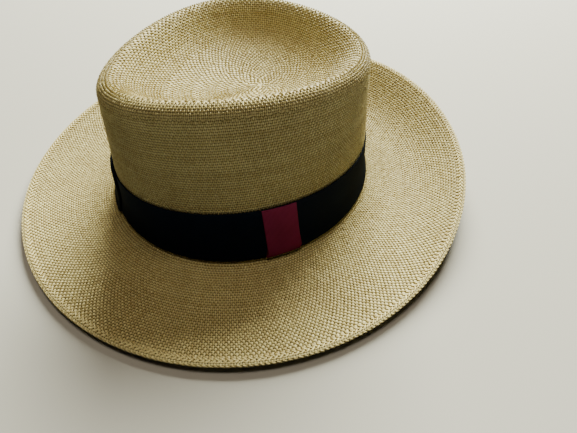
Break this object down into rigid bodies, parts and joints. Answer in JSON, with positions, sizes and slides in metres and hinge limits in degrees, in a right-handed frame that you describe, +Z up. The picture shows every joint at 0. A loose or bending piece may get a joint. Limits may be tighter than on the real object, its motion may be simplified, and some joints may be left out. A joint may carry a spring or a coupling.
{
  "type": "wide-brim woven straw hat with telescope crown",
  "caption": "Woven straw hat with an oval tapering crown, soft rim, dished tip, wide brim lifted at the back, and a flat ribbon round the crown with a contrasting stripe.",
  "frame": {"origin": "on the surface that the hat rests on, under the middle of the hat's bounding box", "axes": "+Z up through the crown, -Y towards the front of the hat, +X towards the wearer's left"},
  "size_m": [0.3142, 0.3374, 0.109],
  "materials": {
    "woven_straw": "fine woven plant straw, pale natural cream, faint sheen",
    "black_ribbon": "black ribbed grosgrain, matt",
    "red_ribbon": "burgundy ribbed grosgrain, matt"
  },
  "bodies": {
    "root": {"straw_body": "woven_straw", "ribbon_band": "black_ribbon", "ribbon_stripe": "red_ribbon", "ribbon_lap": "black_ribbon"}
  },
  "joints": []
}
